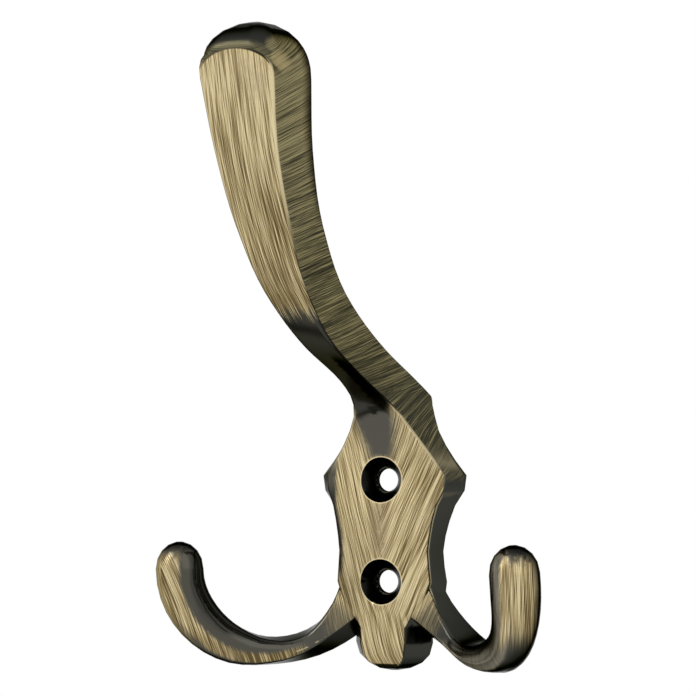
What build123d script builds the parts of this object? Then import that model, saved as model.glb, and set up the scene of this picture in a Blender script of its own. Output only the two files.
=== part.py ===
from math import asin, atan2, cos, degrees, pi, radians, sin, tan
from build123d import *
import os

os.makedirs("parts", exist_ok=True)

# Wall side of the hook lies on y = 0, the hook comes out towards -Y and stands up along +Z.
crown_r = 34.0           # rounding of the plate's front about the upright
crown_top = 20.0         # height where the front starts to flatten
crown_growth = 1.5       # gain of the rounding's radius above that, per millimetre
hole_pitch = 20.0        # screw holes, centre to centre, along the upright
screw_r = 2.25           # clearance for the screw's shank
head_r = 4.45            # countersink at the front face
head_angle = 70.0        # countersink, included angle
relief_r = 6.0           # round hollow in the back behind each screw hole
relief_depth = 2.2       # the same, from the wall
head_y = -6.3            # plane of the countersinks' rims
front_round = 1.1        # along the front edges
back_round = 1.2         # along the back edges
side_bulge = 0.05        # slight swelling of the sides

# Stations of the upright: height, front edge y, back y, front half-width, back half-width.
# Below z = 27 the back runs past the wall plane and is trimmed on it.
stations = [
    (-22.0, -5.7, 1.0, 4.8, 9.4),
    (-18.7, -5.7, 1.0, 5.0, 9.2),
    (-16.0, -5.5, 1.0, 6.9, 10.6),
    (-12.0, -5.1, 1.0, 9.8, 11.7),
    (-4.0, -5.2, 1.0, 9.9, 10.8),
    (5.0, -4.7, 1.0, 11.4, 13.8),
    (10.2, -3.9, 1.0, 13.1, 17.3),
    (14.0, -4.7, 1.0, 10.7, 14.0),
    (19.0, -6.0, 1.5, 7.3, 10.6),
    (23.0, -8.1, 2.0, 5.0, 9.6),
    (26.0, -12.1, 1.5, 3.6, 8.7),
    (29.0, -18.3, -2.9, 2.8, 7.6),
    (35.0, -32.3, -15.4, 3.2, 6.4),
    (44.0, -45.3, -31.2, 4.4, 6.3),
    (56.0, -54.6, -43.9, 5.7, 7.7),
    (70.0, -61.5, -50.8, 6.6, 9.0),
    (83.0, -65.0, -53.9, 7.7, 10.3),
]
section_gap = 3.0        # distance along the upright between the sections laid through the stations
lean_step = 0.5          # rise over which the upright's lean is taken
tip_rise = 10.6          # dome above the last station
tip_pivot = 0.65         # where across the depth the dome peaks
tip_square = 1.5         # squareness of the dome's front
facet_rise = 4.6         # arched top of the front facet above the last station
facet_end = 0.45         # share of the width left flat past the arch
foot_drop = 5.6          # rounded foot below the first station
foot_pivot = 1.0         # where across the depth the foot ends
end_square = 2.5         # squareness of the ends across their depth, 2 is an ellipse
facet_places = (0.4, 0.7, 0.9, 1.0)           # sections up to the top of the arch
dome_places = (0.1, 0.25, 0.45, 0.7, 0.9)     # sections from there to the peak
foot_turns = (83, 65, 45, 25)                 # sections of the foot, degrees of its quarter round

# Stations of a lower hook: centre x, y, z, width across, thickness at the front and back,
# corner radius, turn of the width away from straight into the wall.
hook_stations = [
    (4.2, -2.0, -4.5, 6.0, 7.6, 10.0, 0.9, -8),
    (5.8, -2.0, -11.8, 6.4, 8.0, 11.0, 0.9, -10),
    (10.6, -2.4, -17.6, 6.4, 4.4, 8.4, 1.0, -6),
    (16.6, -3.8, -22.2, 7.4, 2.6, 6.4, 1.2, 10),
    (23.2, -8.5, -24.0, 7.4, 4.0, 6.0, 1.8, 27),
    (29.4, -13.2, -22.6, 7.4, 7.2, 7.6, 3.0, 32),
    (34.0, -18.4, -17.7, 8.2, 8.9, 8.9, 3.9, 32),
    (35.9, -22.1, -11.0, 9.2, 9.3, 9.3, 4.3, 30),
    (36.0, -22.8, -7.5, 9.2, 9.3, 9.3, 4.3, 30),
]
hook_steps = 26          # sections laid along a hook's bend
hook_rise = 5.4          # rounded end of a hook
hook_turns = (22, 42, 62, 82)      # its sections, degrees of the quarter round


def slope(rows, k, column):
    """Slope of a column at row k, from the parabola through its neighbours."""
    a = rows[max(k - 1, 0)]
    b = rows[k]
    c = rows[min(k + 1, len(rows) - 1)]
    if a is b:
        return (c[column] - b[column]) / (c[0] - b[0])
    if c is b:
        return (b[column] - a[column]) / (b[0] - a[0])
    before = (b[column] - a[column]) / (b[0] - a[0])
    after = (c[column] - b[column]) / (c[0] - b[0])
    return (before * (c[0] - b[0]) + after * (b[0] - a[0])) / (c[0] - a[0])


def between(rows, place):
    """Values at any place along a table, by a cubic between the two rows around it."""
    k = max(i for i in range(len(rows) - 1) if rows[i][0] <= place)
    span = rows[k + 1][0] - rows[k][0]
    u = (place - rows[k][0]) / span
    values = []
    for column in range(1, len(rows[k])):
        p0 = rows[k][column]
        p1 = rows[k + 1][column]
        m0 = slope(rows, k, column) * span
        m1 = slope(rows, k + 1, column) * span
        values.append(
            p0 * (1 + 2 * u) * (1 - u) ** 2 + m0 * u * (1 - u) ** 2
            + p1 * u * u * (3 - 2 * u) + m1 * u * u * (u - 1)
        )
    return values


def rounded_section(plane, front, back, bow, bulge, r_front, r_back):
    """Trapezoid from its right front and back corners, with a bowed front and bulging sides."""
    left_front = (-front[0], front[1])
    left_back = (-back[0], back[1])
    with BuildSketch(plane) as outline:
        with BuildLine():
            SagittaArc(left_front, front, -bow)
            SagittaArc(front, back, -bulge)
            Line(back, left_back)
            SagittaArc(left_back, left_front, -bulge)
        make_face()
        fillet(outline.vertices().sort_by(Axis.Y)[:2], r_front)
        fillet(outline.vertices().sort_by(Axis.Y)[-2:], r_back)
    return outline.sketch


def upright_section(z, y_front, y_back, w_front, w_back, size=1.0, r_front=0.0):
    """Section of the upright at a height, its roundings shrunk with its size."""
    crown = crown_r + crown_growth * max(0, z - crown_top)
    return rounded_section(
        Plane.XY.offset(z), (w_front, y_front), (w_back, y_back), w_front**2 / (2 * crown),
        side_bulge, max(front_round * size, r_front), back_round * size,
    )


def end_section(station, height, turn, pivot, square, lean=0.0, arch=0.0):
    """Section of a rounded end; with an arch, the front facet runs up to that share of its height."""
    z, y_front, y_back, w_front, w_back = station
    rise = sin(radians(turn))
    size = (1 - rise**2) ** (1 / 2)
    past = max(0.0, rise - arch) / (1 - arch)
    y_mid = y_front + (y_back - y_front) * pivot
    y_front = y_mid + (y_front + lean * height * rise - y_mid) * (1 - past**square) ** (1 / square)
    y_back = y_mid + (y_back - y_mid) * (1 - rise**end_square) ** (1 / end_square)
    facet = w_front * (1 - min(rise / arch, 1) ** 2) ** (1 / 2) if arch else w_front
    w_front = w_front * size
    w_back = w_back * size
    corner = (pi / 2 - atan2(w_back - w_front, y_back - y_front)) / 2
    r_front = (w_front - max(facet_end * w_front, facet)) / tan(corner)
    return upright_section(z + height * rise, y_front, y_back, w_front, w_back, size, r_front)


def hook_section(centre, along, width, t_front, t_back, corner, turn, size=1.0):
    """Section square to the bend of a lower hook."""
    across = Vector(sin(radians(turn)), cos(radians(turn)), 0)
    half = width * size / 2
    return rounded_section(
        Plane(centre, x_dir=across.cross(along), z_dir=along),
        (t_front * size / 2, -half), (t_back * size / 2, half), side_bulge, side_bulge,
        corner * size, corner * size,
    )


foot = stations[0]
tip = stations[-1]
tip_lean = slope(stations, len(stations) - 1, 1)
sections = []
for turn in foot_turns:
    sections.append(end_section(foot, -foot_drop, turn, foot_pivot, end_square))
height = foot[0]
while height < tip[0]:
    sections.append(upright_section(height, *between(stations, height)))
    lean = (between(stations, height + lean_step)[0] - between(stations, height)[0]) / lean_step
    height += section_gap / (1 + lean**2) ** (1 / 2)
sections.append(upright_section(*tip))
arch = facet_rise / tip_rise
arch_turn = degrees(asin(arch))
tip_turns = [arch_turn * place for place in facet_places]
tip_turns += [arch_turn + (90 - arch_turn) * place for place in dome_places]
for turn in tip_turns:
    sections.append(end_section(tip, tip_rise, turn, tip_pivot, tip_square, tip_lean, arch))

with BuildLine() as bend:
    Spline([row[:3] for row in hook_stations])
bend_edge = bend.line.edge()
hook_rows = [(bend_edge.param_at_point(row[:3]), *row[3:]) for row in hook_stations]
hook_sections = []
for step in range(hook_steps + 1):
    place = step / hook_steps
    hook_sections.append(hook_section(bend_edge @ place, bend_edge % place, *between(hook_rows, place)))
for turn in hook_turns:
    end_centre = bend_edge @ 1 + bend_edge % 1 * hook_rise * sin(radians(turn))
    hook_sections.append(hook_section(end_centre, bend_edge % 1, *hook_rows[-1][1:], cos(radians(turn))))

with BuildPart() as lower_hook:
    loft(hook_sections, ruled=True)

with BuildPart() as coat_hook:
    loft(sections, ruled=True)
    add(lower_hook.part)
    mirror(lower_hook.part, about=Plane.YZ)
    split(bisect_by=Plane.XZ, keep=Keep.TOP)
    with BuildSketch(Plane.XZ):
        with GridLocations(0, hole_pitch, 1, 2):
            Circle(relief_r)
    extrude(amount=relief_depth, mode=Mode.SUBTRACT)
    with Locations(Plane((0, head_y, 0), x_dir=(1, 0, 0), z_dir=(0, -1, 0))):
        with GridLocations(0, hole_pitch, 1, 2):
            CounterSinkHole(screw_r, head_r, -head_y, head_angle)

coat_hook.part.label = "coat_hook"
export_step(coat_hook.part, "parts/coat_hook.step")
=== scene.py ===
"""Triple coat hook in brushed antique brass, as a studio photograph shows it."""

from math import radians
from types import SimpleNamespace

import bmesh
import bpy
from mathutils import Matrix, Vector


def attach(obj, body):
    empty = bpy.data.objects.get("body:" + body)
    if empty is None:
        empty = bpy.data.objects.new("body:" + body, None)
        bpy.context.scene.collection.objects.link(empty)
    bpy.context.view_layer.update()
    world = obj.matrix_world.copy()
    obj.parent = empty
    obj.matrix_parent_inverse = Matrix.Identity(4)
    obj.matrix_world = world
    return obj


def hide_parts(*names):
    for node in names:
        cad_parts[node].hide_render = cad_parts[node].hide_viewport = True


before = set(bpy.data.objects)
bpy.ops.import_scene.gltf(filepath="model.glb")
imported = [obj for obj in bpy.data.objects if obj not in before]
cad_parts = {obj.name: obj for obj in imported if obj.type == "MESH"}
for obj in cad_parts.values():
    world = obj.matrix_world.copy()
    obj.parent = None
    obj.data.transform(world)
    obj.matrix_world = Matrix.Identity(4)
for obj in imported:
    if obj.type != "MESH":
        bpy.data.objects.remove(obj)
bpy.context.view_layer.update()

# Camera, in metres: about 27 degrees to the right of straight on, looking up a little.
CAMERA_AT = Vector((0.26707, -0.54463, 0.00971))
CAMERA_TO = Vector((-0.45356, 0.89016, 0.04362))
SENSOR_MM = 36.0
LENS_MM = 157.97

# Studio, in metres and watts.
FLOOR_Z = -0.16
FLOOR_HALF = 5.0         # half of its width
FLOOR_FRONT = -8.0
FLOOR_BACK = 1.0         # ends there, so the camera sees the white surround behind the hook
FLOOR_COLOUR = (0.80, 0.80, 0.79, 1)
FLOOR_ROUGH = 0.9
WHITE = (1, 1, 1, 1)
SURROUND_LIGHT = 0.65    # strength of the surround as a light; it is seen at strength 1
LAMPS_AIM = Vector((0, -0.02, 0.03))
LAMPS = {                # place, side of the square, power
    "key": (Vector((-0.5, -0.7, 0.6)), 0.5, 3.0),
    "fill": (Vector((0.9, -0.55, 0.5)), 1.0, 1.3),
}

# Surface of the casting.
WELD = 2e-6              # vertices closer than this are one, in metres
CREASE = radians(38)     # steeper edges stay sharp
MM = 1000.0
PLAIN_ROUGH = 0.18       # roughness of the unbrushed metal
BRUSHED_ROUGH = 0.2      # what the brush adds to it
CAP_BRUSHED = 2.0        # how many times that along the arm's arched top
STROKE_BUMP = 0.3
STROKE_DEPTH = 8e-5      # in metres

# Strokes of the brush: cells of noise to a millimetre, and how each kind shows.
FINE = 5.0               # thin lines, across them
COARSE = 2.5             # broader streaks, across them
SIDE_FINE = 6.6
SIDE_COARSE = 4.0
SHOULDER_FINE = 6.0
SHOULDER_COARSE = 3.4
ALONG = 0.06             # both, along them
LINE_SETS = ((-0.045, 2.75), (0.045, 7.25))      # slope of each set of lines and its layer of noise
LINE_EDGE = (0.43, 0.57)
LINE_SHARE = 0.4
STREAK_EDGE = (0.36, 0.64)
STREAK_SHARE = 0.2
NOISE_ROUGH = 0.6
CLOUD = 0.13             # broad blotches, cells to a millimetre
GRAIN = 0.9              # small blotches, cells to a millimetre

# Slopes of the strokes: millimetres across for each one along.
LEFT_SLOPE = 0.29        # the two halves of the plate
RIGHT_SLOPE = 0.43
FOOT_SLOPE = 0.22
HOOK_SLOPE = 0.42        # the fronts of the lower hooks
SIDE_SLOPE = 0.37        # the arm's sides
SIDE_CURL = 0.2          # added to it towards the tip
SHOULDER_SLOPE = 0.85

# Finish and painted light, linear colours.
GOLD_LIGHT = (0.76, 0.64, 0.385, 1)
GOLD = (0.42, 0.33, 0.165, 1)
GOLD_DEEP = (0.120, 0.086, 0.034, 1)
ROSE = (0.30, 0.225, 0.145, 1)
OLIVE_LIGHT = (0.29, 0.250, 0.130, 1)
OLIVE = (0.105, 0.094, 0.050, 1)
OLIVE_DEEP = (0.030, 0.030, 0.021, 1)
GRAY = (0.090, 0.086, 0.070, 1)
# Painted gray reflection on the right hook.
GRAY_SHEEN = (0.22, 0.20, 0.155, 1)
DARK = (0.029, 0.030, 0.0265, 1)
BLACK = (0.004, 0.004, 0.0035, 1)
EDGE_TINT = (0.33, 0.33, 0.32, 1)
GOLD_CONTRAST = 1.3      # of the strokes on the fronts
OLIVE_CONTRAST = 1.2     # of the strokes on the sides
CLOUD_CONTRAST = 0.3     # of the broad blotches on both

# Places on the hook, in millimetres.
HOLE_Z = 10.0            # screw holes above and below the origin
HOLE_RIM = 4.45          # radius of a countersink's rim
HOLE_BORE = 2.25         # radius of the hole itself
SPUR_Z = 10.2            # the plate's pointed spurs
SPUR_X = 13.1
PLATE_X = 9.9            # half-width of the plate below them
PLATE_SLOPE = 0.3        # how its edge runs out to the spurs from below
NECK_SLOPE = 0.65        # and in again above them
NECK_Z = 25.0            # where the plate passes into the arm
FACET_HALF = 7.5         # half-width of the arm's front facet under its arched top
FACET_Z = 82.8           # where the arch starts
FACET_RISE = 4.7         # its height
GLINT_AT = (85.2, -63.0)                                     # beside the arch: z, y
GLINT_SIZE = (2.6, 0.3)          # from its middle: where it starts and where it is full
GLINT_SQUASH = 0.7               # its height over its depth
ARM_BACK = ((56.0, -43.9), (70.0, -50.8), (83.0, -53.9))     # along the arm's back edge: z, y
BEND_AT = (26.0, -7.0)   # centre of a lower hook's bend: outwards, up
BEND_R = 16.8            # radius of that bend
HOOK_FACING = (0.8, 0.6)         # the way a lower hook reaches: sideways, to the front
HOOK_SIDE = (0.89, 0.45)         # across the strokes on its outer side: sideways, to the wall
ARM_FACING = (0.75, 0.66)        # the way the arm's front looks: to the front, down
BACK_FACING = (0.8, 0.6)         # the way its back looks: to the wall, up

# Regions of the hook, in millimetres: where each starts and where it is full.
ARM_FROM = (22.0, 27.0)
FOOT_FROM = (-14.0, -17.0)
FOOT_FLARE = 0.3                 # its top drops by this for each millimetre sideways
FOOT_SIDE = (4.9, 5.6)           # sideways, past the foot
PLATE_SEAM = (-0.9, 0.9)         # sideways, where the strokes of its two halves meet
HOOK_FROM = (12.5, 15.0)         # along a hook's reach
HOOK_BELOW = (1.0, -3.0)
ROOT_WAY = (0.66, 0.75)          # the way a hook's root runs: sideways, down
ROOT_FROM = (15.0, 19.0)         # along that way
ROOT_DARK = (19.0, 25.0)
SHOULDERS = (13.0, 17.0)
SIDES_FROM = (9.0, 11.0)

# Levels of the brushed brass, from 0 for its deep colour to 1 for its light one.
ARM_LEVEL = 0.26
PLATE_LEVEL = 0.42
FOOT_LEVEL = 0.36
HOOK_LEVEL = 0.23
SIDE_LEVEL = 0.18
RIDGE_HIGHLIGHT = 0.2                 # painted highlight on the plate's edges at the shoulders
FOOT_GAIN = 0.12
HOOK_FRONT_GAIN = 0.32
# Painted highlight: a lighter band along a hook's outer side.
HOOK_SIDE_HIGHLIGHT = 0.34
HOOK_UNDER_LOSS = 0.14
GLINT_GAIN = 0.4

# Changes of those levels, in millimetres: where each starts and where it is full.
# Painted light: the arm's front lighter towards its tip.
ARM_LIGHTER = ((42.0, 54.0, 0.16), (58.0, 84.0, 0.29))       # and what it adds
FOOT_LIGHTER = (-27.0, -20.0)
HOOK_LIGHTER = (-23.0, -17.0)
HOOK_DULLER = (-19.5, -23.0)
# Painted light: the sides lighter towards the tip and darkest at the neck.
SIDE_LIGHTER = ((24.0, 36.0, 0.26), (38.0, 84.0, 0.28))      # and what it adds
# Painted sheen: a broad lighter band down each half of the plate.
PLATE_SHEEN = ((-5.0, 1.5, 5.0, 0.10), (4.5, 1.5, 4.0, 0.08))        # middle, half-width, fading, gain
DULL_BETWEEN_HOLES = ((0.0, 0.6, 3.0), (0.5, 3.0, 5.0))      # the first three, sideways and upwards
CURL_FROM = (55.0, 84.0)         # where the strokes on the sides curl
CURL_Y = -58.0                   # about this line
DOME_STROKES = (84.0, 80.0)
SHOULDER_STROKES = (29.0, 25.0)

# Covers: how far each layer of colour, finish or painted light and shade, hides what is under it.
BLOTCH_COVER = 0.3
DULL_COVER = 0.4
BORE_EDGE_COVER = 0.8
REAR_COVER = 0.6
CAP_COVER = 0.35                 # along the arm's arched top
CAP_TURNED = 0.3                 # added where that turns away from the front
BACK_SHADE_COVER = 0.9
GLINT_COVER = 0.5
SHADOW_LINE_COVER = 0.7
EDGE_HIGHLIGHT_COVER = 0.75

# Limits of the bare brass, in millimetres.
RIM_BARE = (HOLE_RIM - 0.1, HOLE_RIM + 0.05)                 # out from a hole's middle
ARM_BARE = (40.0, 43.0)
PLATE_BARE = (25.5, 24.0)
PATCH_SIDE = (1.0, 4.4)          # sideways, past the gray patch over the upper hole
PATCH_GAIN = (2.6, 1.0)          # how much wider its top is, on the left and on the right
PATCH_GROWS = (14.0, 22.0)
PATCH_ABOVE = (15.4, 13.4)
MARGIN = (1.7, 0.3)              # in from the plate's left edge
MARGIN_AT_SPUR = (0.5, 5.0, 1.2)                             # half-width, fading, and what it takes off
MARGIN_FROM = (-10.0, -6.0)
HOOK_BARE = (16.0, 21.0)         # along a hook's reach
HOOK_BARE_FROM = (-24.0, -15.0)
RIGHT_BARE_FROM = (-23.5, -18.0)
CAP_FROM = (82.0, 83.5)

# Limits of the dark metal, of the painted gray sheen on it, and of the painted dark reflections and
# shadow lines, in millimetres.
PATCH_FROM = (6.0, 10.0)
PATCH_BELOW = (25.0, 23.0)
UNDER_ARM = ((22.0, 24.0), (48.0, 44.0))
WALL_BELOW = (10.0, 8.0)
HOOK_INSIDE = (0.5, -2.0)        # in from the middle of a hook's bend
HATCH_FROM = (-2.5, 0.0)         # the same, outwards
RIM_DARK = (HOLE_RIM, HOLE_RIM - 0.25)                       # in towards a hole's middle
BORE_EDGE = (HOLE_BORE + 0.25, 0.08, 0.12)                   # around it: radius, half-width, fading
HOLE_DEEP = (-2.1, -2.4)         # towards the front
HOLE_WITHIN = (18.0, 16.0)
# Painted dark reflections: a pool in the neck, lines along the hooks and edges, and the hooks' tops.
POOL = (26.5, 5.0, 3.0)          # middle, half-height, fading
POOL_SIDE = (-0.1, 1.1)
POOL_SLOPE = 0.9
HOOK_TOP_FROM = (-12.0, -8.0)
EDGE_LINE_BELOW = (9.5, 8.0)
BACK_LINE_FROM = (9.0, 12.0)
REAR_FROM = (26.0, 40.0)
BACK_SHADE = (-3.8, -0.9)        # in from the arm's back edge
BACK_SHADE_FROM = (54.0, 64.0)
# Painted shadow lines beside the arm's arched top and along the neck.
ARCH_LINE_FROM = (82.5, 84.0)
ARCH_LINE_SIDE = (2.0, 5.0)
NECK_LINE = ((11.0, 13.0), (46.0, 42.0))

# Limits of the painted highlights along the edges, in millimetres.
RIM_EDGE = (HOLE_RIM + 0.1, 0.05, 0.12)                      # around a hole: radius, half-width, fading
ARM_EDGE_FROM = (50.0, 66.0)
SHOULDER_EDGE = ((11.0, 14.0), (25.0, 22.0))
PLATE_EDGE = ((-15.0, -12.0), (8.0, 6.0))
ROOT_EDGE = (16.5, 2.0, 2.0)     # along a hook's reach: middle, half-length, fading


class Field:
    """A number or colour that varies over the surface, built up from shader nodes."""

    def __init__(self, tree, socket):
        self.tree = tree
        self.socket = socket

    def node(self, operation, *others):
        made = self.tree.nodes.new("ShaderNodeMath")
        made.operation = operation
        feed(made.inputs[0], self)
        for place, other in enumerate(others, start=1):
            feed(made.inputs[place], other)
        return Field(self.tree, made.outputs[0])

    def __add__(self, other):
        return self.node("ADD", other)

    def __sub__(self, other):
        return self.node("SUBTRACT", other)

    def __mul__(self, other):
        return self.node("MULTIPLY", other)

    def __truediv__(self, other):
        return self.node("DIVIDE", other)

    __radd__ = __add__

    def __rsub__(self, other):
        return self * -1.0 + other

    def size(self):
        return self.node("ABSOLUTE")

    def sign(self):
        return self.node("SIGN")

    def most(self, other):
        return self.node("MAXIMUM", other)

    def ramp(self, start, end):
        """0 before start and 1 past end, smooth between; start may be the higher one."""
        made = self.tree.nodes.new("ShaderNodeMapRange")
        made.interpolation_type = "SMOOTHSTEP"
        feed(made.inputs["Value"], self)
        made.inputs["From Min"].default_value = start
        made.inputs["From Max"].default_value = end
        return Field(self.tree, made.outputs["Result"])

    def band(self, middle, half, soft):
        """1 within half of the middle, fading to 0 over the soft distance past it."""
        return (self - middle).size().ramp(half + soft, half)

    def blend(self, other, share):
        """This field where share is 0 and the other where it is 1."""
        return self + (other - self) * share


def feed(socket, value):
    """Links a field to a socket, or sets the socket to a plain number or colour."""
    if isinstance(value, Field):
        value.tree.links.new(value.socket, socket)
    else:
        socket.default_value = value


def split(tree, socket):
    """The three parts of a vector socket as fields."""
    made = tree.nodes.new("ShaderNodeSeparateXYZ")
    tree.links.new(socket, made.inputs[0])
    return [Field(tree, out) for out in made.outputs]


def distance(a, b):
    """Length of the vector with two fields as its parts."""
    return (a * a + b * b).node("SQRT")


def noise(x, y, z, detail):
    """Noise from 0 to 1 with its mean near a half, at the given coordinates."""
    vector = x.tree.nodes.new("ShaderNodeCombineXYZ")
    for socket, value in zip(vector.inputs, (x, y, z)):
        feed(socket, value)
    made = x.tree.nodes.new("ShaderNodeTexNoise")
    made.inputs["Scale"].default_value = 1.0
    made.inputs["Detail"].default_value = detail
    made.inputs["Roughness"].default_value = NOISE_ROUGH
    x.tree.links.new(vector.outputs[0], made.inputs["Vector"])
    return Field(x.tree, made.outputs[0])


def strokes(across, along, layer, fine=FINE, coarse=COARSE):
    """Brush strokes from 0 to 1: two sets of thin lines at a slight angle, and broader streaks."""
    total = noise(across * coarse, along * ALONG, layer, detail=2.0).ramp(*STREAK_EDGE) * STREAK_SHARE
    for slope, shift in LINE_SETS:
        lines = noise((across + along * slope) * fine, along * ALONG, layer + shift, detail=1.0)
        total = total + lines.ramp(*LINE_EDGE) * LINE_SHARE
    return total


def mix_colour(share, first, second):
    """Colour between two, each a plain colour or a field, by a field from 0 to 1."""
    made = share.tree.nodes.new("ShaderNodeMix")
    made.data_type = "RGBA"
    feed(made.inputs["Factor"], share)
    first_colour, second_colour = made.inputs[6:8]
    feed(first_colour, first)
    feed(second_colour, second)
    return Field(share.tree, made.outputs[2])


def tone(level, deep, middle, light):
    """Colour from deep through middle to light as the level goes from 0 to 1."""
    lower = mix_colour(level * 2.0, deep, middle)
    return mix_colour(level * 2.0 - 1.0, lower, light)


def hook_surface(tree):
    """Fields over the hook: places in millimetres, facings from -1 to 1 and regions from 0 to 1.

    Cloud and grain are noise about 0, which makes the edges of the regions uneven.
    The field to_arch is 1 along the arched top of the arm's front facet and less under it.
    """
    at = SimpleNamespace()
    coords = tree.nodes.new("ShaderNodeTexCoord")
    at.x, at.y, at.z = [part * MM for part in split(tree, coords.outputs["Object"])]
    geometry = tree.nodes.new("ShaderNodeNewGeometry")
    normal_x, normal_y, at.up = split(tree, geometry.outputs["Normal"])
    at.half = at.x.sign()
    at.right = at.half.ramp(-1.0, 1.0)
    at.side = at.x.size()
    at.out = normal_x * at.half
    at.front = normal_y * -1.0
    at.fore = at.front * ARM_FACING[0] - at.up * ARM_FACING[1]

    at.cloud = noise(at.x * CLOUD, at.y * CLOUD, at.z * CLOUD, detail=2.0) - 0.5
    at.grain = noise(at.x * GRAIN, at.y * GRAIN, at.z * GRAIN, detail=3.0) - 0.5
    at.on_arm = at.z.ramp(*ARM_FROM)
    at.on_foot = (at.z + at.side * FOOT_FLARE).ramp(*FOOT_FROM)
    at.to_hole = distance(at.x, at.z.size() - HOLE_Z)
    at.to_arch = distance(at.side / FACET_HALF, (at.z - FACET_Z).most(0.0) / FACET_RISE)
    glint_z, glint_y = GLINT_AT
    at.glint = distance(at.z - glint_z, (at.y - glint_y) * GLINT_SQUASH).ramp(*GLINT_SIZE)
    add_lower_hooks(at)
    add_strokes(at)
    return at


def add_lower_hooks(at):
    """Adds the fields of the lower hooks: along them, around their bend, and their roots."""
    sideways, forward = HOOK_FACING
    at.reach = at.side * sideways - at.y * forward
    from_bend = at.reach - BEND_AT[0]
    up_bend = at.z - BEND_AT[1]
    at.off_bend = distance(from_bend, up_bend)
    at.past_bend = at.off_bend - BEND_R

    # The way the surface looks: to the wall across a hook, and away from its bend.
    at.walled = at.out * forward - at.front * sideways
    outwards = at.out * sideways + at.front * forward
    at.outer = (outwards * from_bend + at.up * up_bend) / at.off_bend

    at.on_hook = at.reach.ramp(*HOOK_FROM) * at.z.ramp(*HOOK_BELOW)
    at.off_hook = 1.0 - at.on_hook
    at.down_root = at.side * ROOT_WAY[0] - at.z * ROOT_WAY[1] + at.grain * 1.5
    at.off_foot = at.side.ramp(*FOOT_SIDE)
    at.on_root = at.down_root.ramp(*ROOT_FROM) * at.off_foot


def add_strokes(at):
    """Adds the strokes: down the arm, in a V on the plate, aslant on the hooks, across the sides."""
    at.arm_strokes = strokes(at.x + at.cloud * 0.3, at.z, layer=0.0)
    left = strokes(at.x + at.z * LEFT_SLOPE + at.cloud * 0.5, at.z, layer=4.0)
    right = strokes(at.x - at.z * RIGHT_SLOPE + at.cloud * 0.5, at.z, layer=8.0)
    plate = left.blend(right, (at.x + at.grain * 5.0).ramp(*PLATE_SEAM))
    foot = strokes(at.x + at.z * FOOT_SLOPE, at.z, layer=11.0)
    hook_front = strokes(at.reach - at.z * HOOK_SLOPE, at.z, layer=13.0 + at.half)
    hook_side = strokes(at.side * HOOK_SIDE[0] + at.y * HOOK_SIDE[1], at.z, layer=17.0 + at.half)
    hook = hook_side.blend(hook_front, (at.walled + at.half * 0.2).ramp(-0.62, -0.8))
    fronts = plate.blend(foot, at.on_foot).blend(at.arm_strokes, at.on_arm)
    at.worn = fronts.blend(hook, at.on_hook)

    curl = at.z.ramp(*CURL_FROM) * (at.y - CURL_Y) * SIDE_CURL
    across_side = at.z - (at.y * SIDE_SLOPE + curl) + at.cloud * 0.4
    side = strokes(across_side, at.y, layer=2.0, fine=SIDE_FINE, coarse=SIDE_COARSE)
    across_shoulder = at.z - at.y * SHOULDER_SLOPE
    shoulder = strokes(across_shoulder, at.y, layer=3.0, fine=SHOULDER_FINE, coarse=SHOULDER_COARSE)
    at.side_worn = side.blend(shoulder, (at.z + at.grain * 3.0).ramp(*SHOULDER_STROKES))


def gold(at):
    """Colour of the fronts where the brush rubbed them bare."""
    # Painted light: the arm lighter towards its tip.
    arm = ARM_LEVEL
    for start, end, gain in ARM_LIGHTER:
        arm = at.z.ramp(start, end) * gain + arm
    # Painted sheen down each half of the plate.
    plate = PLATE_LEVEL
    for middle, half, soft, gain in PLATE_SHEEN:
        plate = at.x.band(middle, half, soft) * gain + plate
    # Painted highlight on the plate's edges at the shoulders.
    ridge_highlight = at.out.ramp(0.12, 0.3) * at.z.ramp(*SHOULDERS) * RIDGE_HIGHLIGHT
    foot = at.z.ramp(*FOOT_LIGHTER) * FOOT_GAIN + FOOT_LEVEL
    hook_front = at.walled.ramp(-0.5, -0.8) * at.z.ramp(*HOOK_LIGHTER) * HOOK_FRONT_GAIN
    # Painted highlight: a lighter band along each hook's outer side.
    hook_side = at.walled.band(-0.25, 0.08, 0.28) * HOOK_SIDE_HIGHLIGHT
    hook_under = at.z.ramp(*HOOK_DULLER) * HOOK_UNDER_LOSS
    hook = hook_front + hook_side - hook_under + HOOK_LEVEL

    level = (plate + ridge_highlight).blend(foot, at.on_foot).blend(arm, at.on_arm).blend(hook, at.on_hook)
    level = level + (at.worn - 0.5) * GOLD_CONTRAST + at.cloud * CLOUD_CONTRAST
    rubbed = tone(level, GOLD_DEEP, GOLD, GOLD_LIGHT)
    blotches = (at.cloud * 2.0 + at.grain).ramp(0.0, 0.6) * BLOTCH_COVER
    sideways, upwards = DULL_BETWEEN_HOLES
    between_holes = at.x.band(*sideways) * at.z.band(*upwards) * DULL_COVER
    return mix_colour(blotches.most(between_holes), rubbed, ROSE)


def olive(at):
    """Colour of the cross-brushed sides."""
    below_dome = at.to_arch.ramp(1.0, 1.15).most(at.z.ramp(*DOME_STROKES))
    contrast = at.up.ramp(0.75, 0.4) * below_dome * OLIVE_CONTRAST + 0.15
    # Painted light: the sides lighter towards the tip and darkest at the neck, and the painted glint.
    level = at.glint * GLINT_GAIN + SIDE_LEVEL
    for start, end, gain in SIDE_LIGHTER:
        level = at.z.ramp(start, end) * gain + level
    level = level + (at.side_worn - 0.5) * contrast + at.cloud * CLOUD_CONTRAST
    return tone(level, OLIVE_DEEP, OLIVE, OLIVE_LIGHT)


def arm_front(at):
    """1 on the bare front of the arm, up to its arched top."""
    end = (at.z + at.grain * 2.0 + (at.worn - 0.5) * 3.0).ramp(*ARM_BARE)
    return at.fore.ramp(0.5, 0.7) * at.out.ramp(0.7, 0.45) * end * at.to_arch.ramp(1.04, 0.98)


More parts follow.
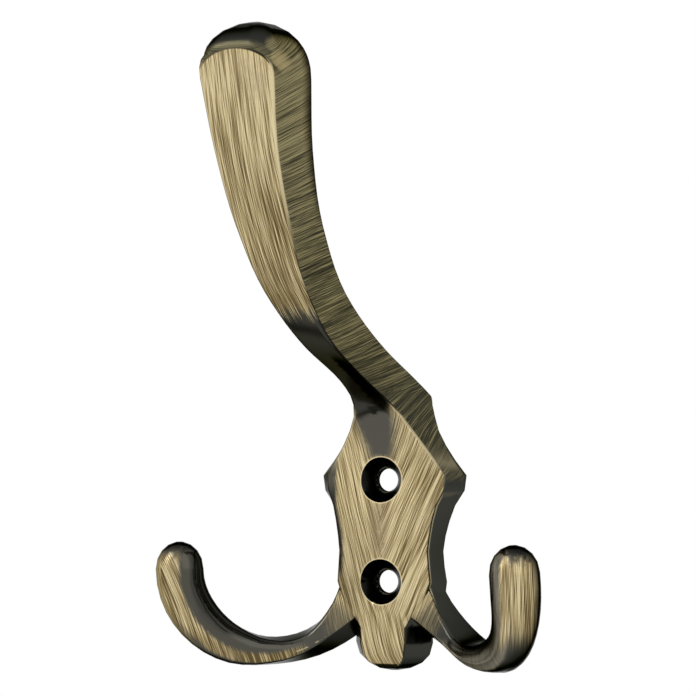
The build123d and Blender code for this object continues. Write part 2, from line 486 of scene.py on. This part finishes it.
def plate_front(at):
    """1 on the bare front of the plate, past the gray patch over the holes and off the hooks' roots."""
    facing = at.front.ramp(0.5, 0.72) * at.out.ramp(0.58, 0.38) * at.z.ramp(*PLATE_BARE)
    left_gain, right_gain = PATCH_GAIN
    gain = at.z.ramp(*PATCH_GROWS) * (left_gain - at.right * (left_gain - right_gain))
    past_patch = (at.side + at.grain * 1.2 - gain).ramp(*PATCH_SIDE).most(at.z.ramp(*PATCH_ABOVE))

    # The plate's left margin stays dark.
    edge = (SPUR_X - (SPUR_Z - at.z) * PLATE_SLOPE).most(PLATE_X) - (at.z - SPUR_Z).most(0.0) * NECK_SLOPE
    half, soft, taken = MARGIN_AT_SPUR
    margin = (edge - at.side + at.grain * 0.8 - at.z.band(SPUR_Z, half, soft) * taken).ramp(*MARGIN)
    margin = margin * (1.0 - at.right) * at.z.ramp(*MARGIN_FROM)
    roots = at.on_root * 0.7 + at.down_root.ramp(*ROOT_DARK) * at.off_foot * 0.3
    return facing * past_patch * (1.0 - margin) * (1.0 - roots)


def hook_face(at):
    """1 on the bare outsides of the lower hooks."""
    uneven = at.grain * 0.5
    low = at.z.ramp(*HOOK_BARE_FROM).most(at.walled.ramp(-0.55, -0.8))
    top = (at.up + uneven + (at.worn - 0.5) * 0.25).ramp(0.65, 0.1)
    outside = at.outer * 1.2 + at.past_bend * 0.6 - at.right * 0.9 + uneven + (at.worn - 0.5) * 0.15
    right_end = at.z.ramp(*RIGHT_BARE_FROM).most(1.0 - at.right)
    facing = outside.ramp(0.0, 0.8) * at.walled.ramp(0.6, 0.05)
    return facing * at.reach.ramp(*HOOK_BARE) * low * top * right_end


def bare_fronts(at):
    """1 where the brush rubbed the fronts bare."""
    fronts = arm_front(at).most(plate_front(at)).blend(hook_face(at), at.on_hook)
    return fronts * at.to_hole.ramp(*RIM_BARE)


def side_facets(at):
    """1 on the cross-brushed sides, from the tip down to the shoulders."""
    facing = at.out.ramp(0.55, 0.8) * at.front.ramp(-0.25, 0.1) * at.up.ramp(0.75, 0.45)
    upper = at.up.ramp(-0.25, -0.05).most(at.z.ramp(*SHOULDERS))
    return facing * at.z.ramp(*SIDES_FROM) * upper


def arch_cap(at):
    """1 along the arched top of the arm's front facet, fading out towards the dome."""
    return at.to_arch.band(1.0, 0.05, 0.45) * at.z.ramp(*CAP_FROM) * at.front.ramp(0.1, 0.4)


def dark_reflections_and_holes(at, in_hole):
    """1 where the metal is painted black: painted dark reflections as a pool in the neck, as lines along
    the hooks and edges and on the hooks' tops, and dark inside the holes.
    """
    pool = (at.x - (NECK_Z - at.z).most(0.0) * POOL_SLOPE + at.grain * 2.0).ramp(*POOL_SIDE)
    pool = pool * at.z.band(*POOL) * at.fore.ramp(0.4, 0.7) * at.out.ramp(0.6, 0.4)
    broken = (at.grain + at.cloud).ramp(-0.15, 0.1)
    hook_line = at.outer.band(-0.5, 0.01, 0.06) * at.walled.ramp(-0.1, -0.4) * at.on_hook * broken
    hook_top = at.up.ramp(0.45, 0.8) * at.on_hook * at.z.ramp(*HOOK_TOP_FROM)
    edge_line = at.out.band(0.5, 0.06, 0.08) * at.front.ramp(0.5, 0.7) * at.off_hook
    edge_line = edge_line * at.z.ramp(*EDGE_LINE_BELOW)
    back_line = at.front.ramp(0.12, -0.05) * at.out.ramp(0.6, 0.8) * at.z.ramp(*BACK_LINE_FROM)
    lines = hook_line.most(back_line).most(edge_line)
    return lines.most(pool * 0.75).most(hook_top * 0.6).most(in_hole * 0.8)


def unbrushed(at):
    """Colour of the unbrushed metal: gray where it looks to the front, darker elsewhere, with a painted
    gray sheen on the lower hooks and painted dark reflections.
    """
    neck = at.z.ramp(*PATCH_FROM) * at.z.ramp(*PATCH_BELOW) * at.front.ramp(0.6, 0.8)
    under_arm = at.fore.ramp(0.4, 0.7) * at.z.ramp(*UNDER_ARM[0]) * at.z.ramp(*UNDER_ARM[1])
    under_arm = under_arm * at.out.ramp(0.45, 0.2)
    root = at.on_root * at.front.ramp(0.5, 0.7) * (1.0 - at.right * 0.6)
    wall = at.out.ramp(0.6, 0.85) * at.z.ramp(*WALL_BELOW) * at.off_hook
    # Painted reflection: a gray sheen on the lower hooks' fronts, fainter inside the right hook's bend.
    sheen = noise(at.outer * 5.0, at.walled * 5.0, at.z * 0.05 + at.half, detail=2.0).ramp(0.3, 0.7)
    inside = at.past_bend.ramp(*HOOK_INSIDE) * at.right
    hook = at.walled.ramp(-0.45, -0.75) * at.outer.ramp(-0.5, -0.2) * at.on_hook
    hook = hook * (sheen * 0.7 + 0.4) * (1.0 - inside * 0.8)
    gray = neck.most(hook * 0.75).most(root * 0.85).most(wall * 0.2).most(under_arm * 0.4)
    metal = mix_colour(gray, DARK, GRAY)

    # Lighter hatching around the right hook's bend: brush hatch in a painted gray reflection, on the
    # right hook only.
    hatch = strokes(at.reach, at.off_bend, layer=21.0 + at.half) * 0.7 + 0.55
    hatched_sheen = hook * at.right * at.outer.ramp(-0.4, 0.0) * at.past_bend.ramp(*HATCH_FROM) * hatch
    metal = mix_colour(hatched_sheen, metal, GRAY_SHEEN)

    in_hole = at.to_hole.ramp(*RIM_DARK) * at.y.ramp(*HOLE_DEEP) * at.z.size().ramp(*HOLE_WITHIN)
    bore_edge = at.to_hole.band(*BORE_EDGE) * in_hole
    # Painted dark reflections, and dark inside the holes.
    metal = mix_colour(dark_reflections_and_holes(at, in_hole), metal, BLACK)
    return mix_colour(bore_edge * BORE_EDGE_COVER, metal, GRAY)


def with_back(at, metal):
    """The metal's colour with the back added: mottled as cast, and lightly brushed on the arm."""
    behind = (at.up * BACK_FACING[1] - at.front * BACK_FACING[0]).ramp(0.5, 0.75)
    rear = tone((at.arm_strokes - 0.5) * 0.8 + at.cloud * 0.5 + 0.3, OLIVE_DEEP, OLIVE, OLIVE_LIGHT)
    mottled = mix_colour(behind * ((at.grain + at.cloud) * 1.2 + 0.35), metal, GRAY)
    return mix_colour(behind * (at.z + at.grain * 8.0).ramp(*REAR_FROM) * REAR_COVER, mottled, rear)


def back_shade(at):
    """1 along the back edge of the arm's sides, which runs through three points."""
    (z_low, y_low), (z_mid, y_mid), (z_top, y_top) = ARM_BACK
    slope = (y_mid - y_low) / (z_mid - z_low)
    change = ((y_top - y_mid) / (z_top - z_mid) - slope) / (z_top - z_low)
    edge = (at.z - z_low) * slope + (at.z - z_low) * (at.z - z_mid) * change + y_low
    return (at.y - edge).ramp(*BACK_SHADE) * at.out.ramp(0.6, 0.8) * at.z.ramp(*BACK_SHADE_FROM)


def shadow_lines(at):
    """1 on the painted shadow lines beside the arm's arched top and along the neck."""
    arch = at.to_arch.band(1.05, 0.02, 0.035) * at.x.ramp(*ARCH_LINE_SIDE) * at.z.ramp(*ARCH_LINE_FROM)
    neck = at.out.band(0.66, 0.05, 0.06) * at.z.ramp(*NECK_LINE[0]) * at.z.ramp(*NECK_LINE[1])
    return (arch * at.front.ramp(-0.1, 0.2)).most(neck * at.fore.ramp(-0.2, 0.1))


def edge_highlights(at):
    """1 on the painted highlights along the edges."""
    rim = at.to_hole.band(*RIM_EDGE) * at.front.ramp(0.6, 0.8)
    arm = at.out.band(0.5, 0.12, 0.18) * at.fore.ramp(0.2, 0.5)
    arm = arm * at.z.ramp(*ARM_EDGE_FROM) * at.to_arch.ramp(1.1, 1.0)
    shoulder = at.out.band(0.52, 0.15, 0.15) * at.front.ramp(0.3, 0.5)
    shoulder = shoulder * at.z.ramp(*SHOULDER_EDGE[0]) * at.z.ramp(*SHOULDER_EDGE[1])
    plate = at.out.band(0.74, 0.05, 0.07) * at.front.ramp(0.45, 0.6) * at.off_hook
    plate = plate * at.z.ramp(*PLATE_EDGE[0]) * at.z.ramp(*PLATE_EDGE[1])
    root = at.outer.band(0.22, 0.05, 0.1) * at.walled.ramp(-0.3, -0.5) * at.on_hook
    root = root * at.reach.band(*ROOT_EDGE) * (at.grain + 0.05).ramp(0.0, 0.08)
    return rim.most(arm).most(root * 0.6).most(shoulder * 0.5).most(plate * 0.4)


def brushed_brass():
    """Brass brushed back on the fronts and sides, dark and smooth in the recesses."""
    material = bpy.data.materials.new("brushed_antique_brass")
    material.use_nodes = True
    tree = material.node_tree
    shader = tree.nodes["Principled BSDF"]
    at = hook_surface(tree)
    bare = bare_fronts(at)
    sides = side_facets(at)
    cap = arch_cap(at)
    flank = sides.most(cap * (at.front.ramp(0.995, 0.93) * CAP_TURNED + CAP_COVER))

    # The finish, with painted light and shade layered on it.
    finish_and_painted_light = mix_colour(flank, with_back(at, unbrushed(at)), olive(at))
    finish_and_painted_light = mix_colour(back_shade(at) * BACK_SHADE_COVER, finish_and_painted_light, BLACK)
    finish_and_painted_light = mix_colour(bare, finish_and_painted_light, gold(at))
    finish_and_painted_light = mix_colour(at.glint * flank * GLINT_COVER, finish_and_painted_light, GOLD)
    # Painted shadow lines.
    finish_and_painted_light = mix_colour(shadow_lines(at) * SHADOW_LINE_COVER, finish_and_painted_light, BLACK)
    # Painted highlights along the edges, in a light gold.
    finish_and_painted_light = mix_colour(edge_highlights(at) * EDGE_HIGHLIGHT_COVER, finish_and_painted_light, GOLD_LIGHT)
    feed(shader.inputs["Base Color"], finish_and_painted_light)

    brushed = bare.most(sides).most(cap * CAP_BRUSHED)
    feed(shader.inputs["Roughness"], brushed * BRUSHED_ROUGH + PLAIN_ROUGH)
    shader.inputs["Metallic"].default_value = 1.0
    shader.inputs["Specular Tint"].default_value = EDGE_TINT
    bump = tree.nodes.new("ShaderNodeBump")
    bump.inputs["Strength"].default_value = STROKE_BUMP
    bump.inputs["Distance"].default_value = STROKE_DEPTH
    feed(bump.inputs["Height"], at.worn * bare + at.side_worn * flank)
    tree.links.new(bump.outputs[0], shader.inputs["Normal"])
    return material


def casting():
    """The casting with its facets run together into smooth faces and crisp edges."""
    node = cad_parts["coat_hook"]
    shape = bmesh.new()
    shape.from_mesh(node.data)
    bmesh.ops.remove_doubles(shape, verts=shape.verts, dist=WELD)
    bmesh.ops.recalc_face_normals(shape, faces=shape.faces)
    for face in shape.faces:
        face.smooth = True
    for edge in shape.edges:
        edge.smooth = edge.is_manifold and edge.calc_face_angle() < CREASE
    mesh = bpy.data.meshes.new("casting")
    shape.to_mesh(mesh)
    shape.free()
    piece = bpy.data.objects.new("casting", mesh)
    bpy.context.scene.collection.objects.link(piece)
    normals = piece.modifiers.new("normals", "WEIGHTED_NORMAL")
    normals.keep_sharp = True
    mesh.materials.append(brushed_brass())
    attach(piece, "root")
    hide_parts("coat_hook")


def floor():
    """A plain pale floor, white in reflections, which keeps the shadow."""
    mesh = bpy.data.meshes.new("floor")
    front = [(-FLOOR_HALF, FLOOR_FRONT, 0), (FLOOR_HALF, FLOOR_FRONT, 0)]
    back = [(FLOOR_HALF, FLOOR_BACK, 0), (-FLOOR_HALF, FLOOR_BACK, 0)]
    mesh.from_pydata(front + back, [], [(0, 1, 2, 3)])
    plane = bpy.data.objects.new("floor", mesh)
    plane.location.z = FLOOR_Z
    bpy.context.scene.collection.objects.link(plane)
    material = bpy.data.materials.new("floor")
    material.use_nodes = True
    tree = material.node_tree
    shader = tree.nodes["Principled BSDF"]
    shader.inputs["Base Color"].default_value = FLOOR_COLOUR
    shader.inputs["Roughness"].default_value = FLOOR_ROUGH
    path = tree.nodes.new("ShaderNodeLightPath")
    white = tree.nodes.new("ShaderNodeEmission")
    white.inputs["Color"].default_value = WHITE
    mixed = tree.nodes.new("ShaderNodeMixShader")
    tree.links.new(path.outputs["Is Glossy Ray"], mixed.inputs[0])
    tree.links.new(shader.outputs[0], mixed.inputs[1])
    tree.links.new(white.outputs[0], mixed.inputs[2])
    tree.links.new(mixed.outputs[0], tree.nodes["Material Output"].inputs["Surface"])
    mesh.materials.append(material)


def soft_box(name, place, side, power):
    """A square lamp at a place, turned to the hook."""
    lamp = bpy.data.lights.new(name, "AREA")
    lamp.size = side
    lamp.energy = power
    item = bpy.data.objects.new(name, lamp)
    item.location = place
    item.rotation_euler = (LAMPS_AIM - place).to_track_quat("-Z", "Y").to_euler()
    bpy.context.scene.collection.objects.link(item)


def surround():
    """A white surround, brighter to the camera and in reflections than it is as a light."""
    world = bpy.data.worlds.new("studio")
    world.use_nodes = True
    bpy.context.scene.world = world
    tree = world.node_tree
    background = tree.nodes["Background"]
    background.inputs["Color"].default_value = WHITE
    path = tree.nodes.new("ShaderNodeLightPath")
    seen = Field(tree, path.outputs["Is Camera Ray"])
    for name in ("Is Glossy Ray", "Is Transmission Ray"):
        seen = seen.most(Field(tree, path.outputs[name]))
    feed(background.inputs["Strength"], seen * (1.0 - SURROUND_LIGHT) + SURROUND_LIGHT)


def camera():
    """Camera at the photograph's viewing angle."""
    data = bpy.data.cameras.new("camera")
    data.sensor_width = SENSOR_MM
    data.lens = LENS_MM
    item = bpy.data.objects.new("camera", data)
    item.location = CAMERA_AT
    item.rotation_mode = "QUATERNION"
    item.rotation_quaternion = CAMERA_TO.to_track_quat("-Z", "Y")
    bpy.context.scene.collection.objects.link(item)
    bpy.context.scene.camera = item


casting()
floor()
for lamp_name, settings in LAMPS.items():
    soft_box(lamp_name, *settings)
surround()
camera()
bpy.context.scene.view_settings.view_transform = "Standard"
